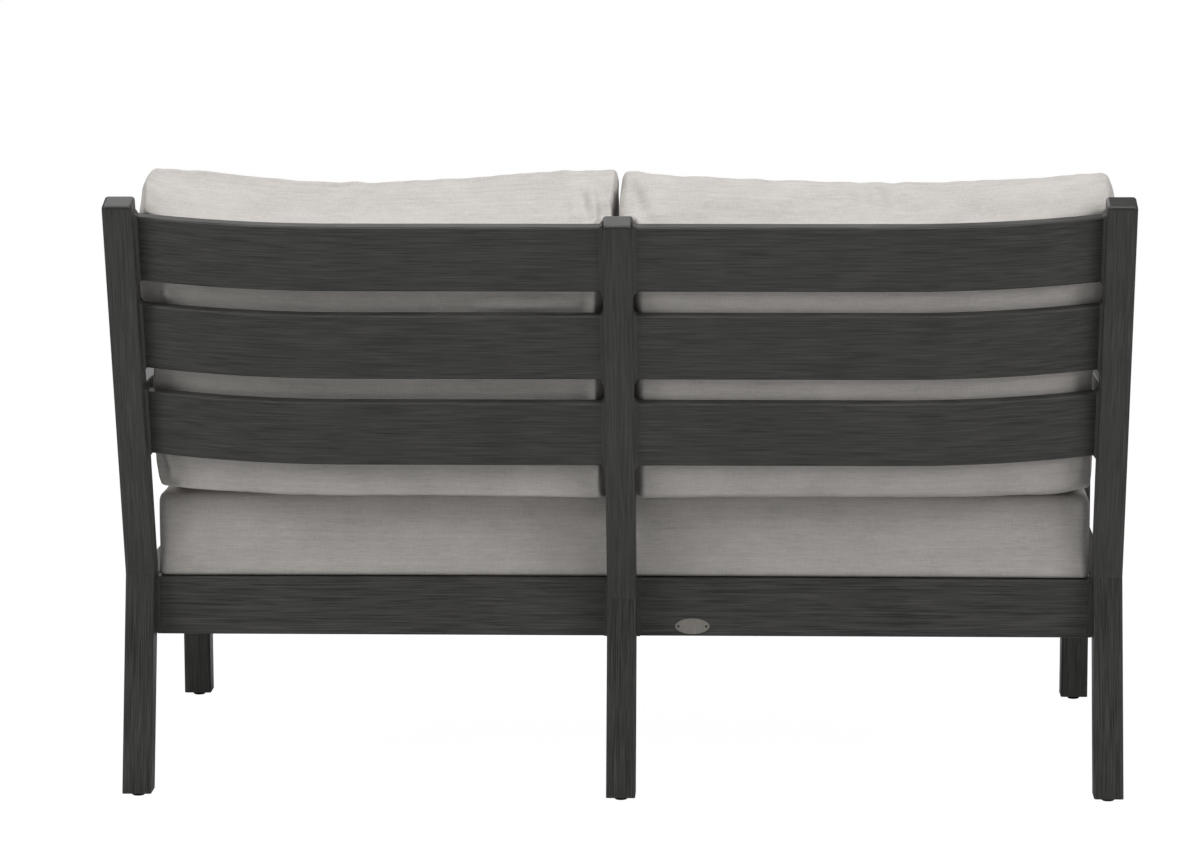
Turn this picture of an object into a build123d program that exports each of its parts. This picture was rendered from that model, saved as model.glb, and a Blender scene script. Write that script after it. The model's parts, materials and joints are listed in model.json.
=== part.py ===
from build123d import *
import os
from math import asin, cos, degrees, radians, sin, sqrt, tan

os.makedirs("parts", exist_ok=True)

# Driving sizes of the loveseat, in millimetres and degrees
overall_width = 1422.0
frame_depth = 637.5
kink_height = 310.0
arm_height = 594.0
back_post_length = 565.8
recline_angle = 16.0
splay_angle = 14.0

# Square tube of the legs, posts and arms
tube_size = 41.5
tube_wall = 2.0
tube_corner = 3.5

# The middle leg and post stand behind the rail, and the middle post is shorter
middle_post_setback = 24.0
middle_leg_setback = 8.8
middle_post_drop = 19.0

# Back slats: flat tubes, straight in the middle and bent forward at the ends
slat_height = 96.0
slat_thickness = 16.0
slat_wall = 1.6
slat_corner = 2.0
slat_spacing = 132.5
lowest_slat_rise = 181.0
slat_middle_inset = 8.0
slat_front_inset = 2.0
slat_straight_half = 385.0

# Rails of the seat frame
rail_height = 84.0
rail_thickness = 31.0
rail_corner = 3.0
rail_bottom = 218.3
rear_rail_inset = 23.0
front_rail_inset = 5.0

# Bars across the seat that carry the cushion
seat_bar_count = 8
seat_bar_width = 50.0
seat_bar_depth = 20.0
seat_bar_corner = 2.5
stretcher_width = 38.0
stretcher_depth = 62.0

# Caps on the posts
cap_thickness = 5.0
cap_edge = 3.2
cap_lip_depth = 10.0
cap_lip_wall = 2.0
fit_clearance = 0.2

# Plugs in the legs and the nylon glides under them
plug_depth = 14.0
glide_diameter = 19.0
glide_height = 6.0
glide_stem_diameter = 8.0
glide_stem_length = 11.0
glide_stem_sides = 8

# Weld beads
weld_leg = 5.0
bead_angle = 45.0

# Blank oval plate on the rear rail, with its two rivets
plate_width = 49.0
plate_height = 22.5
plate_thickness = 1.2
plate_offset = 100.0
plate_rise = 14.7
rivet_spacing = 40.0
rivet_head_diameter = 3.6
rivet_head_height = 0.9
rivet_shank_diameter = 2.0
rivet_grip = 3.0
rivet_clearance = 0.1

# Seat cushion
soft_clearance = 0.3
seat_side_clearance = 3.0
seat_rear_inset = 25.0
seat_front_inset = 4.5
seat_edge_height = 121.0
seat_crown_across = 6.0
seat_crown_deep = 9.0
seat_draw_in = 7.0
seat_plan_corner = 22.0
seat_seam_edge = 9.0

# Back cushions
back_cushion_thickness = 136.0
back_crown_across = 15.0
back_crown_high = 11.0
back_cushion_rise = 556.0
back_cushion_flare = 14.0
back_cushion_sag = 19.0
back_cushion_draw_in = 5.0
back_cushion_gap = 7.0
back_cushion_side_clearance = 7.5
back_slat_clearance = 2.0
back_post_relief = 22.0
back_top_corner = 20.0
back_seam_edge = 9.0

# One overrun serves every cut
overrun = 60.0
bend_overrun_angle = 2.0

# Directions that the frame follows
recline = radians(recline_angle)
splay = radians(splay_angle)
up_post = Vector(0, sin(recline), cos(recline))
post_rear = Vector(0, cos(recline), -sin(recline))
up_leg = Vector(0, -sin(splay), cos(splay))
leg_rear = Vector(0, cos(splay), sin(splay))
mitre_normal = (up_post + up_leg).normalized()
across = Vector(1, 0, 0)

# Places worked out from the sizes above
outer_x = overall_width / 2
inner_x = outer_x - tube_size
end_post_x = outer_x - tube_size / 2
middle_post_length = back_post_length - middle_post_drop
rear_reach = (middle_post_length - cap_edge) * sin(recline) + middle_post_setback * cos(recline)
kink_y = (frame_depth - rear_reach) / 2
front_y = kink_y - frame_depth
rail_top = rail_bottom + rail_height
end_kink = Vector(0, kink_y, kink_height)
joint_spread = sin(recline + splay)
middle_kink = end_kink + Vector(
    0,
    (middle_post_setback * sin(splay) + middle_leg_setback * sin(recline)) / joint_spread,
    (middle_leg_setback * cos(recline) - middle_post_setback * cos(splay)) / joint_spread,
)
rear_rail_y = kink_y - rear_rail_inset
rear_rail_face = Plane(origin=(0, rear_rail_y, 0), x_dir=(-1, 0, 0), z_dir=(0, 1, 0))
front_rail_y = front_y + front_rail_inset
side_rail_x = inner_x + rail_thickness / 2

# Sides of the frame: each has its name and the sign of its X
sides = {"left": 1, "right": -1}


def save(piece, label):
    piece.part.label = label
    export_step(piece.part, f"parts/{label}.step")


def at_post(x, n, s):
    """A point at x, n to the rear of the back plane and s up along it."""
    return end_kink + across * x + post_rear * n + up_post * s


def tube_section(size_x, size_y, corner, wall):
    RectangleRounded(size_x, size_y, corner)
    Rectangle(size_x - 2 * wall, size_y - 2 * wall, mode=Mode.SUBTRACT)


# Rear legs: square tubes that splay to the rear, mitred to the posts
def rear_leg(label, x, kink):
    length = kink.Z / cos(splay)
    start = kink - up_leg * (length + overrun) - leg_rear * (tube_size / 2) + across * x
    with BuildPart() as leg:
        with BuildSketch(Plane(origin=start, x_dir=across, z_dir=up_leg)):
            tube_section(tube_size, tube_size, tube_corner, tube_wall)
        extrude(amount=length + 2 * overrun)
        split(bisect_by=Plane(origin=kink, x_dir=across, z_dir=mitre_normal), keep=Keep.BOTTOM)
        split(bisect_by=Plane.XY.offset(glide_height), keep=Keep.TOP)
        if x == 0:
            split(bisect_by=rear_rail_face, keep=Keep.TOP)
    save(leg, label)


# Back posts: the same tube, leaning to the rear from the mitre up to the cap
def back_post(label, x, kink, top):
    start = kink - up_post * overrun - post_rear * (tube_size / 2) + across * x
    foot = (kink - end_kink).dot(up_post)
    with BuildPart() as post:
        with BuildSketch(Plane(origin=start, x_dir=across, z_dir=up_post)):
            tube_section(tube_size, tube_size, tube_corner, tube_wall)
        extrude(amount=top - cap_thickness - foot + overrun)
        split(bisect_by=Plane(origin=kink, x_dir=across, z_dir=mitre_normal), keep=Keep.TOP)
        if x == 0:
            split(bisect_by=rear_rail_face, keep=Keep.TOP)
    save(post, label)


# Post caps: a lid with its edges turned down and a lip that slips into the tube
def post_cap(label, x, n, top):
    lip_size = tube_size - 2 * tube_wall - 2 * fit_clearance
    seat = at_post(x, n - tube_size / 2, top - cap_thickness)
    with BuildPart() as cap:
        with BuildSketch(Plane(origin=seat, x_dir=across, z_dir=up_post)):
            RectangleRounded(tube_size, tube_size, tube_corner)
        extrude(amount=cap_thickness)
        chamfer(cap.faces().sort_by(Axis((0, 0, 0), tuple(up_post)))[-1].edges(), length=cap_edge)
        with BuildSketch(Plane(origin=seat, x_dir=across, z_dir=-up_post)):
            Rectangle(lip_size, lip_size)
            Rectangle(lip_size - 2 * cap_lip_wall, lip_size - 2 * cap_lip_wall, mode=Mode.SUBTRACT)
        extrude(amount=cap_lip_depth)
    save(cap, label)


# Back slats: a flat tube drawn out straight, then bent forward round an upright axis
slat_middle_rear = middle_post_setback - slat_middle_inset
slat_middle_axis = slat_middle_rear - slat_thickness / 2
slat_bend_run = inner_x - slat_straight_half
slat_bend_sag = slat_middle_rear - slat_thickness + tube_size - slat_front_inset
slat_front_radius = (slat_bend_run**2 + slat_bend_sag**2) / (2 * slat_bend_sag)
slat_axis_radius = slat_front_radius + slat_thickness / 2
slat_bend_angle = degrees(asin(slat_bend_run / slat_front_radius)) + bend_overrun_angle
slat_levels = {"lower": 0, "middle": 1, "upper": 2}


def slat_rise(level):
    return lowest_slat_rise + level * slat_spacing


def bent_slat(side, level, hollow):
    """A hollow bar ends at the post's face; a solid one runs on past it, to cut the beads."""
    middle_rise = slat_rise(level) + slat_height / 2
    bend_start = at_post(side * slat_straight_half, slat_middle_axis, middle_rise)
    bend_centre = bend_start - post_rear * slat_axis_radius
    with BuildPart() as bar:
        with BuildSketch(Plane(origin=bend_start, x_dir=up_post, z_dir=across * side)) as section:
            Rectangle(slat_height, slat_thickness)
            chamfer(section.vertices(), length=slat_corner)
            if hollow:
                Rectangle(slat_height - 2 * slat_wall, slat_thickness - 2 * slat_wall, mode=Mode.SUBTRACT)
        extrude(amount=tube_size / 2 - slat_straight_half)
        revolve(section.sketch, axis=Axis(bend_centre, up_post * -side), revolution_arc=slat_bend_angle)
        if hollow:
            split(bisect_by=Plane(origin=across * side * inner_x, z_dir=across * side), keep=Keep.BOTTOM)
    return bar


def back_slat(label, side, level):
    save(bent_slat(side, level, True), label)


# Blank oval plate low on the rear rail, and the two rivets that hold it
plate_centre = Vector(-plate_offset, rear_rail_y, rail_bottom + plate_rise)
plate_face = Plane(origin=plate_centre, x_dir=(-1, 0, 0), z_dir=(0, 1, 0))


def oval_plate(label):
    with BuildPart() as plate:
        with BuildSketch(plate_face):
            Ellipse(plate_width / 2, plate_height / 2)
            with GridLocations(rivet_spacing, 0, 2, 1):
                Circle(rivet_shank_diameter / 2 + rivet_clearance, mode=Mode.SUBTRACT)
        extrude(amount=plate_thickness)
    save(plate, label)


def plate_rivets(label):
    head_plane = plate_face.offset(plate_thickness)
    with BuildPart() as rivets:
        with BuildSketch(head_plane):
            with GridLocations(rivet_spacing, 0, 2, 1):
                Circle(rivet_head_diameter / 2)
        extrude(amount=rivet_head_height)
        with BuildSketch(head_plane):
            with GridLocations(rivet_spacing, 0, 2, 1):
                Circle(rivet_shank_diameter / 2)
        extrude(amount=-rivet_grip - plate_thickness)
    save(rivets, label)


# Seat rails: flat tubes set on edge between the legs
def cross_rail(label, rear_face_y, riveted):
    with BuildPart() as rail:
        start = Vector(-inner_x, rear_face_y - rail_thickness / 2, rail_bottom + rail_height / 2)
        with BuildSketch(Plane(origin=start, x_dir=(0, 1, 0), z_dir=across)):
            tube_section(rail_thickness, rail_height, rail_corner, tube_wall)
        extrude(amount=2 * inner_x)
        if riveted:
            with BuildSketch(plate_face):
                with GridLocations(rivet_spacing, 0, 2, 1):
                    Circle(rivet_shank_diameter / 2 + rivet_clearance)
            extrude(amount=-rail_thickness / 2, mode=Mode.SUBTRACT)
    save(rail, label)


def side_rail(label, side):
    start = Vector(side * side_rail_x, front_y + tube_size, rail_bottom + rail_height / 2)
    leg_front = end_kink - leg_rear * tube_size
    with BuildPart() as rail:
        with BuildSketch(Plane(origin=start, x_dir=(-1, 0, 0), z_dir=(0, 1, 0))):
            tube_section(rail_thickness, rail_height, rail_corner, tube_wall)
        extrude(amount=frame_depth + overrun)
        split(bisect_by=Plane(origin=leg_front, x_dir=across, z_dir=leg_rear), keep=Keep.BOTTOM)
    save(rail, label)


# Front legs: plumb tubes, mitred to the arms at the top
arm_corner = Vector(0, front_y, arm_height)
arm_mitre = Plane(origin=arm_corner, x_dir=across, z_dir=(0, 1, 1))


def front_leg(label, side):
    start = Vector(side * end_post_x, front_y + tube_size / 2, glide_height)
    with BuildPart() as leg:
        with BuildSketch(Plane(origin=start, x_dir=across, z_dir=(0, 0, 1))):
            tube_section(tube_size, tube_size, tube_corner, tube_wall)
        extrude(amount=arm_height)
        split(bisect_by=arm_mitre, keep=Keep.BOTTOM)
    save(leg, label)


# Arms: level tubes from the front legs to the posts
def arm(label, side):
    start = Vector(side * end_post_x, front_y - overrun, arm_height - tube_size / 2)
    post_front = end_kink - post_rear * tube_size
    with BuildPart() as tube:
        with BuildSketch(Plane(origin=start, x_dir=(-1, 0, 0), z_dir=(0, 1, 0))):
            tube_section(tube_size, tube_size, tube_corner, tube_wall)
        extrude(amount=frame_depth + rear_reach + overrun)
        split(bisect_by=arm_mitre, keep=Keep.TOP)
        split(bisect_by=Plane(origin=post_front, x_dir=across, z_dir=post_rear), keep=Keep.BOTTOM)
    save(tube, label)


# Bars across the seat frame, level with the tops of the rails
bar_start_y = front_rail_y + rail_thickness
bar_end_y = rear_rail_y - rail_thickness
bar_spacing = 2 * inner_x / (seat_bar_count + 2)


def seat_bar(label, x, width, depth):
    start = Vector(x, bar_start_y, rail_top - depth / 2)
    with BuildPart() as bar:
        with BuildSketch(Plane(origin=start, x_dir=(-1, 0, 0), z_dir=(0, 1, 0))):
            tube_section(width, depth, seat_bar_corner, slat_wall)
        extrude(amount=bar_end_y - bar_start_y)
    save(bar, label)


# Feet: a plug in the end of each leg and a nylon glide pushed into it
def leg_foot(kink):
    """The middle of a rear leg's cut end, at the height of the glide."""
    axis_top = kink - leg_rear * (tube_size / 2)
    return axis_top - up_leg * ((axis_top.Z - glide_height) / cos(splay))


def leg_plug(label, foot, axis):
    plug_size = tube_size - 2 * tube_wall - 2 * fit_clearance
    with BuildPart() as plug:
        with BuildSketch(Plane(origin=foot - axis * overrun, x_dir=across, z_dir=axis)):
            Rectangle(plug_size, plug_size)
        extrude(amount=2 * overrun)
        split(bisect_by=Plane.XY.offset(glide_height), keep=Keep.TOP)
        split(bisect_by=Plane.XY.offset(glide_height + plug_depth), keep=Keep.BOTTOM)
        with Locations((foot.X, foot.Y, glide_height + plug_depth)):
            Hole(radius=glide_stem_diameter / 2)
    save(plug, label)


def glide(label, foot):
    centre = Vector(foot.X, foot.Y, 0)
    with BuildPart() as nylon:
        with BuildSketch(Plane(origin=centre)):
            Circle(glide_diameter / 2)
        extrude(amount=glide_height)
        with BuildSketch(Plane(origin=centre).offset(glide_height)):
            RegularPolygon(glide_stem_diameter / 2 - fit_clearance, glide_stem_sides)
        extrude(amount=glide_stem_length)
    save(nylon, label)


# Weld beads: collars where the slats meet the posts, cut to the slats they join
slat_rear_radius = slat_front_radius + slat_thickness
slat_end_rear = slat_middle_rear - slat_rear_radius + sqrt(slat_rear_radius**2 - slat_bend_run**2)
slat_end_front = slat_front_inset - tube_size


def slat_welds(label, side, post_x, toward, rear, front):
    """Beads on one side face of a post: toward is the sign of X from the post to the slats."""
    with BuildPart() as beads:
        for level in slat_levels.values():
            low = slat_rise(level) - weld_leg
            high = slat_rise(level) + slat_height + weld_leg
            centre = at_post(post_x, (rear + weld_leg + front) / 2, (low + high) / 2)
            with BuildSketch(Plane(origin=centre, x_dir=up_post, z_dir=across * toward)):
                Rectangle(high - low, rear + weld_leg - front)
            extrude(amount=weld_leg, taper=bead_angle)
            add(bent_slat(side, level, False).part, mode=Mode.SUBTRACT)
    save(beads, label)


# Weld beads between the rear rail and the legs, built up where the legs lean away
def leg_front_y(kink, z):
    leg_front = kink - leg_rear * tube_size
    return leg_front.Y + (leg_front.Z - z) * tan(splay)


def rail_welds(label):
    low = rail_bottom + rail_corner
    high = rail_top - rail_corner
    corners = [(side * inner_x, -side, end_kink) for side in sides.values()]
    corners += [(side * tube_size / 2, side, middle_kink) for side in sides.values()]
    with BuildPart() as beads:
        for x, toward, kink in corners:
            foot_y = max(leg_front_y(kink, low), rear_rail_y)
            with BuildSketch(Plane(origin=(x, 0, 0), x_dir=(0, toward, 0), z_dir=across * toward)):
                with BuildLine():
                    Polyline(
                        (toward * rear_rail_y, low),
                        (toward * (foot_y + weld_leg), low),
                        (toward * (rear_rail_y + weld_leg), high - rail_height / 2),
                        (toward * (rear_rail_y + weld_leg), high),
                        (toward * rear_rail_y, high),
                        close=True,
                    )
                make_face()
            extrude(amount=weld_leg)
    save(beads, label)


# Crowned cushions: a slab under a surface that arches both ways trims each of them
def arch_radius(half_chord, rise):
    return (half_chord**2 + rise**2) / (2 * rise)


def crowned_slab(top, along, out, half_along, half_over, rise_along, rise_over, depth):
    """A slab whose outer face is highest at top and falls away by both rises at the half sizes."""
    over = along.cross(out)
    along_radius = arch_radius(half_along, rise_along)
    over_radius = arch_radius(half_over, rise_over)
    reach = half_along + overrun
    drop = along_radius - sqrt(along_radius**2 - reach**2)
    angle = asin((half_over + overrun) / over_radius)
    centre = top - out * over_radius
    start = centre + (out * cos(angle) - over * sin(angle)) * over_radius
    with BuildPart() as slab:
        with BuildSketch(Plane(origin=start, x_dir=along, z_dir=over * cos(angle) + out * sin(angle))):
            with BuildLine():
                ThreePointArc((-reach, -drop), (0, 0), (reach, -drop))
                Polyline((reach, -drop), (reach, -depth), (-reach, -depth), (-reach, -drop))
            make_face()
        revolve(axis=Axis(centre, along), revolution_arc=degrees(2 * angle))
    return slab.part


# Seat cushion: one bench cushion, crowned on top, its sides drawn in between the corners
seat_base_z = rail_top + soft_clearance
seat_crown_z = seat_base_z + seat_edge_height + seat_crown_across + seat_crown_deep
seat_half_width = inner_x - seat_side_clearance
seat_rear_y = kink_y - seat_rear_inset
seat_front_y = front_y + seat_front_inset
seat_middle_y = (seat_rear_y + seat_front_y) / 2


def seat_crown(clearance):
    """The seat's crowned top, raised by a clearance."""
    return crowned_slab(
        Vector(0, seat_middle_y, seat_crown_z + clearance),
        Vector(0, 1, 0),
        Vector(0, 0, 1),
        (seat_rear_y - seat_front_y) / 2,
        seat_half_width,
        seat_crown_deep,
        seat_crown_across,
        seat_crown_z,
    )


def drawn_in_outline(x0, x1, y0, y1, inset):
    """A rectangle whose four sides are arcs that pull in between the corners."""
    middle_x = (x0 + x1) / 2
    middle_y = (y0 + y1) / 2
    ThreePointArc((x0, y0), (middle_x, y0 + inset), (x1, y0))
    ThreePointArc((x1, y0), (x1 - inset, middle_y), (x1, y1))
    ThreePointArc((x1, y1), (middle_x, y1 - inset), (x0, y1))
    ThreePointArc((x0, y1), (x0 + inset, middle_y), (x0, y0))


def seat_cushion(label):
    with BuildPart() as cushion:
        with BuildSketch(Plane.XY.offset(seat_base_z)) as plan:
            with BuildLine():
                drawn_in_outline(-seat_half_width, seat_half_width, seat_front_y, seat_rear_y, seat_draw_in)
            make_face()
            fillet(plan.vertices(), radius=seat_plan_corner)
        extrude(amount=seat_crown_z - seat_base_z + overrun)
        add(seat_crown(0), mode=Mode.INTERSECT)
        chamfer(cushion.faces().sort_by(Axis.Z)[-1].edges(), length=seat_seam_edge)
    save(cushion, label)


# Back cushions: they stand on the seat, and their rear faces follow the bend of the slats
back_plane = Plane(origin=end_kink, x_dir=across, z_dir=-post_rear)
back_plan = Plane(origin=end_kink, x_dir=across, z_dir=up_post)
back_rear_n = slat_middle_rear - slat_thickness - back_slat_clearance
back_seam_n = back_rear_n - back_cushion_thickness
back_crown_n = back_seam_n - back_crown_across - back_crown_high
back_low_rise = (seat_base_z - kink_height) / cos(recline)
back_seam_low_rise = back_low_rise + seat_edge_height / cos(recline)
back_arms_rise = (arm_height - kink_height) / cos(recline)
back_inner_x = back_cushion_gap / 2
back_outer_low_x = inner_x - back_cushion_side_clearance
back_outer_high_x = back_outer_low_x + back_cushion_flare
back_middle_x = (back_inner_x + back_outer_high_x) / 2
back_bend_radius = slat_front_radius - back_slat_clearance
back_bend_end_x = inner_x - back_post_relief
back_bend_end_n = back_rear_n - back_bend_radius + sqrt(
    back_bend_radius**2 - (back_bend_end_x - slat_straight_half) ** 2
)
back_gusset_x = tube_size / 2 + back_post_relief
back_gusset_n = middle_post_setback - tube_size - back_post_relief


def back_cushion(label, side):
    wide_x = back_outer_high_x + overrun
    deep_n = back_crown_n - overrun
    crown_point = at_post(
        side * back_middle_x, back_crown_n, (back_seam_low_rise + back_cushion_rise) / 2
    )
    front_crown = crowned_slab(
        crown_point,
        up_post,
        -post_rear,
        (back_cushion_rise - back_seam_low_rise) / 2,
        (back_outer_high_x - back_inner_x) / 2,
        back_crown_high,
        back_crown_across,
        frame_depth,
    )
    with BuildPart() as cushion:
        with BuildSketch(back_plan.offset(back_low_rise)):
            with BuildLine():
                Line((side * back_inner_x, back_gusset_n), (side * back_gusset_x, back_rear_n))
                Line((side * back_gusset_x, back_rear_n), (side * slat_straight_half, back_rear_n))
                RadiusArc(
                    (side * slat_straight_half, back_rear_n),
                    (side * back_bend_end_x, back_bend_end_n),
                    side * back_bend_radius,
                )
                Polyline(
                    (side * back_bend_end_x, back_bend_end_n),
                    (side * wide_x, back_bend_end_n - overrun),
                    (side * wide_x, deep_n),
                    (side * back_inner_x, deep_n),
                    (side * back_inner_x, back_gusset_n),
                )
            make_face()
        extrude(amount=back_cushion_rise + overrun)
        with BuildSketch(back_plane) as front:
            with BuildLine():
                Polyline(
                    (side * back_inner_x, back_low_rise),
                    (side * back_outer_low_x, back_low_rise),
                    (side * back_outer_low_x, back_arms_rise),
                )
                ThreePointArc(
                    (side * back_outer_low_x, back_arms_rise),
                    (
                        side * (back_outer_high_x - back_cushion_draw_in / 2),
                        (back_arms_rise + back_cushion_rise) / 2,
                    ),
                    (side * back_outer_high_x, back_cushion_rise),
                )
                ThreePointArc(
                    (side * back_outer_high_x, back_cushion_rise),
                    (side * back_middle_x, back_cushion_rise - back_cushion_sag),
                    (side * back_inner_x, back_cushion_rise),
                )
                ThreePointArc(
                    (side * back_inner_x, back_cushion_rise),
                    (side * (back_inner_x + back_cushion_draw_in), back_cushion_rise / 2),
                    (side * back_inner_x, back_low_rise),
                )
            make_face()
            fillet(front.vertices().group_by(Axis.Z)[-1], radius=back_top_corner)
        extrude(amount=frame_depth, both=True, mode=Mode.INTERSECT)
        add(front_crown, mode=Mode.INTERSECT)
        add(seat_crown(soft_clearance), mode=Mode.SUBTRACT)
        front_face = cushion.faces().sort_by(Axis((0, 0, 0), tuple(-post_rear)))[-1]
        chamfer(front_face.edges(), length=back_seam_edge)
    save(cushion, label)


# Assembly: every piece at its place in the frame
post_places = {
    "left": (end_post_x, end_kink, 0, back_post_length),
    "middle": (0, middle_kink, middle_post_setback, middle_post_length),
    "right": (-end_post_x, end_kink, 0, back_post_length),
}
for name, (x, kink, setback, top) in post_places.items():
    rear_leg(f"rear_leg_{name}", x, kink)
    back_post(f"back_post_{name}", x, kink, top)
    post_cap(f"post_cap_{name}", x, setback, top)
    foot = leg_foot(kink) + across * x
    leg_plug(f"rear_leg_plug_{name}", foot, up_leg)
    glide(f"rear_glide_{name}", foot)

for name, side in sides.items():
    front_leg(f"front_leg_{name}", side)
    arm(f"arm_{name}", side)
    side_rail(f"side_rail_{name}", side)
    foot = Vector(side * end_post_x, front_y + tube_size / 2, glide_height)
    leg_plug(f"front_leg_plug_{name}", foot, Vector(0, 0, 1))
    glide(f"front_glide_{name}", foot)
    for level_name, level in slat_levels.items():
        back_slat(f"{level_name}_slat_{name}", side, level)
    slat_welds(f"slat_welds_{name}", side, side * inner_x, -side, slat_end_rear, slat_end_front)
    slat_welds(
        f"slat_welds_middle_{name}",
        side,
        side * tube_size / 2,
        side,
        slat_middle_rear,
        slat_middle_rear - slat_thickness,
    )
    back_cushion(f"back_cushion_{name}", side)
    for number in range(1, seat_bar_count // 2 + 1):
        seat_bar(f"seat_bar_{name}_{number}", side * number * bar_spacing, seat_bar_width, seat_bar_depth)

cross_rail("rear_rail", rear_rail_y, True)
cross_rail("front_rail", front_rail_y + rail_thickness, False)
seat_bar("centre_stretcher", 0, stretcher_width, stretcher_depth)
rail_welds("rail_welds")
oval_plate("oval_plate")
plate_rivets("plate_rivets")
seat_cushion("seat_cushion")
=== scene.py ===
import json
from math import copysign, cos, exp, inf, pi, radians, sin, sqrt

import bmesh
import bpy
from bpy.props import FloatProperty, FloatVectorProperty, IntProperty, PointerProperty
from bpy.types import Operator, Panel, PropertyGroup
from mathutils import Matrix, Vector, noise


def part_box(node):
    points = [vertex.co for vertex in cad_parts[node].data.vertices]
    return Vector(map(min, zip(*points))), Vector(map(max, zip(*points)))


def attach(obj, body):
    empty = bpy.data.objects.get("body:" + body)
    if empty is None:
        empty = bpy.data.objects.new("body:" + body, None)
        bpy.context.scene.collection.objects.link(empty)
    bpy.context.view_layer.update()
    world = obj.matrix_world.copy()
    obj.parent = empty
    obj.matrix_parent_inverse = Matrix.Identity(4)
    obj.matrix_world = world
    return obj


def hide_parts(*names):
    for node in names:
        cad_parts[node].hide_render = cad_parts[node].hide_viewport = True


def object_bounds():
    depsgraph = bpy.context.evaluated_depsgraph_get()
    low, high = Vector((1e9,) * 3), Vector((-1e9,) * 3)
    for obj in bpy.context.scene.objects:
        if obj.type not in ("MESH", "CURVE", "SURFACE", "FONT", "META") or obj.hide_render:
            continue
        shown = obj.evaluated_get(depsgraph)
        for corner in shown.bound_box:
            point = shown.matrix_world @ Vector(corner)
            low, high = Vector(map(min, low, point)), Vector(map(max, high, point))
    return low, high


bl_info = {
    "name": "Patio Loveseat Dressing",
    "version": (1, 0, 0),
    "blender": (4, 5, 0),
    "location": "View3D > Sidebar > Loveseat",
    "description": "Brushes the paint of the loveseat's welded frame and sews its three cushions",
    "category": "Object",
}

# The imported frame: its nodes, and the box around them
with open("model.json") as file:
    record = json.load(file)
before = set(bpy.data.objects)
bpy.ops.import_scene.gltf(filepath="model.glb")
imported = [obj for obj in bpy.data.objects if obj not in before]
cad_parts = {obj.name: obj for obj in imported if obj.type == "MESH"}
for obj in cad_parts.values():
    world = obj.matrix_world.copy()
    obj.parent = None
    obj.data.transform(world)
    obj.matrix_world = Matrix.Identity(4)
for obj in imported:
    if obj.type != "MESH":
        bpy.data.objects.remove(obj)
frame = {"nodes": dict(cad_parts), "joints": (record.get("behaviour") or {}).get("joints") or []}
nodes = frame["nodes"]
cad_low, cad_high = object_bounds()

SIDES = {"left": 1, "right": -1}

# Directions of the frame: the back cushions slide up along the reclined back
joints = {joint["name"]: joint for joint in frame["joints"]}
ACROSS = Vector((1, 0, 0))
UPWARD = Vector((0, 0, 1))
REARWARD = Vector((0, 1, 0))
UP_BACK = Vector(joints["back_cushion_left_lift"]["axis"]).normalized()
BACK_REAR = Vector((0, UP_BACK.z, -UP_BACK.y))

# The seat cushion's box, the air over it, and the height at which its crowned top starts
SOFT_GAP = 0.0003
seat_low, seat_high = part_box("seat_cushion")
seat_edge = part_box("back_cushion_left")[0].z - SOFT_GAP


def span(node, direction):
    """The lowest and highest place of a CAD node along a direction, in metres."""
    places = [vertex.co.dot(direction) for vertex in nodes[node].data.vertices]
    return min(places), max(places)


# The user's sizes, colours and light
class PaintSettings(PropertyGroup):
    paint_colour: FloatVectorProperty(
        name="Paint Colour", description="Slate paint of the frame", subtype="COLOR",
        default=(0.0495, 0.0487, 0.0462), min=0, max=1,
    )
    streak_light: FloatProperty(
        name="Light Streaks", description="How much lighter the brushed streaks are",
        default=1.7, min=1, max=4,
    )
    streak_dark: FloatProperty(
        name="Dark Streaks", description="How much darker the gaps between streaks are",
        default=0.52, min=0, max=1,
    )
    streak_width: FloatProperty(
        name="Streak Width", description="Width of one brushed streak",
        unit="LENGTH", default=0.0015, min=0.0005,
    )
    streak_length: FloatProperty(
        name="Streak Length", description="Length of one brushed streak",
        unit="LENGTH", default=0.075, min=0.01,
    )
    streak_wander: FloatProperty(
        name="Streak Wander", description="How often the streaks turn aside, per metre",
        default=7.0, min=0,
    )
    roughness: FloatProperty(
        name="Roughness", description="Roughness of the satin paint",
        subtype="FACTOR", default=0.42, min=0, max=1,
    )
    gloss: FloatProperty(
        name="Gloss", description="Strength of the paint's reflections",
        subtype="FACTOR", default=0.3, min=0, max=1,
    )
    cap_corner: FloatProperty(
        name="Cap Corner", description="Corner radius of the post caps",
        unit="LENGTH", default=0.0052, min=0.0005,
    )
    cap_lip_inset: FloatProperty(
        name="Cap Lip Inset", description="Distance from the side of a cap to its lip", unit="LENGTH",
        default=0.0023, min=0.0005,
    )
    splay_angle: FloatProperty(
        name="Leg Splay", description="How far the rear legs lean out",
        unit="ROTATION", default=radians(14),
    )


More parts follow.
